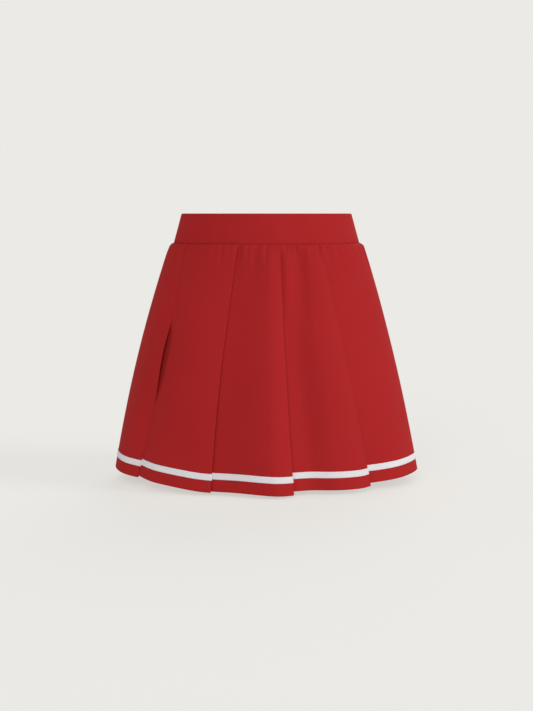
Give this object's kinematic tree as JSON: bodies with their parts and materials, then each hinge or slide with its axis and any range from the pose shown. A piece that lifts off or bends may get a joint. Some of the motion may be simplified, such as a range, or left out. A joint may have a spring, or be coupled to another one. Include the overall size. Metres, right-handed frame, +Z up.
{
  "type": "cheer uniform skirt",
  "caption": "Knife-pleated A-line cheer skirt with a smooth firm waistband, a white ribbon stripe above the hem and a concealed back zip, standing open as worn.",
  "frame": {"origin": "centre of the waist opening, level with the waistband's top edge", "axes": "+Z up, the front of the skirt faces -Y, +X is the wearer's left"},
  "size_m": [0.4518, 0.2975, 0.384],
  "materials": {
    "red_cloth": "matte crepe",
    "band_cloth": "matte crepe",
    "white_ribbon": "ribbed",
    "facing_cloth": "matte",
    "interlining": "matte",
    "zip_tape": "twill",
    "zip_teeth": "moulded",
    "zip_metal": "enamelled",
    "hook_metal": "plated",
    "loop_ribbon": "satin",
    "label_satin": "satin"
  },
  "bodies": {
    "root": {"skirt_front": "red_cloth", "skirt_back_left": "red_cloth", "skirt_back_right": "red_cloth", "hem_stripe_front": "white_ribbon", "hem_stripe_back_left": "white_ribbon", "hem_stripe_back_right": "white_ribbon", "waistband_front": "band_cloth", "waistband_back_left": "band_cloth", "waistband_back_right": "band_cloth", "waistband_facing_front": "facing_cloth", "waistband_facing_back_left": "facing_cloth", "waistband_facing_back_right": "facing_cloth", "waistband_interlining_front": "interlining", "waistband_interlining_back_left": "interlining", "waistband_interlining_back_right": "interlining", "zipper_tape_left": "zip_tape", "zipper_tape_right": "zip_tape", "zipper_teeth_left": "zip_teeth", "zipper_teeth_right": "zip_teeth", "zipper_top_stops": "zip_teeth", "zipper_bottom_stop": "zip_metal", "waist_hook": "hook_metal", "waist_eye": "hook_metal", "hanger_loop_left": "loop_ribbon", "hanger_loop_right": "loop_ribbon", "care_label": "label_satin"},
    "slider": {"zipper_slider": "zip_metal"},
    "pull": {"zipper_pull": "zip_metal"}
  },
  "joints": [
    {"name": "zipper_slide", "type": "slide", "parent": "root", "child": "slider", "axis": [0, 0.1961, -0.9806], "range_m": [0, 0.16]},
    {"name": "pull_hinge", "type": "hinge", "parent": "slider", "child": "pull", "pos_m": [0, 0.09209, -0.01395], "axis": [1, 0, 0], "range_deg": [0, 175]}
  ]
}
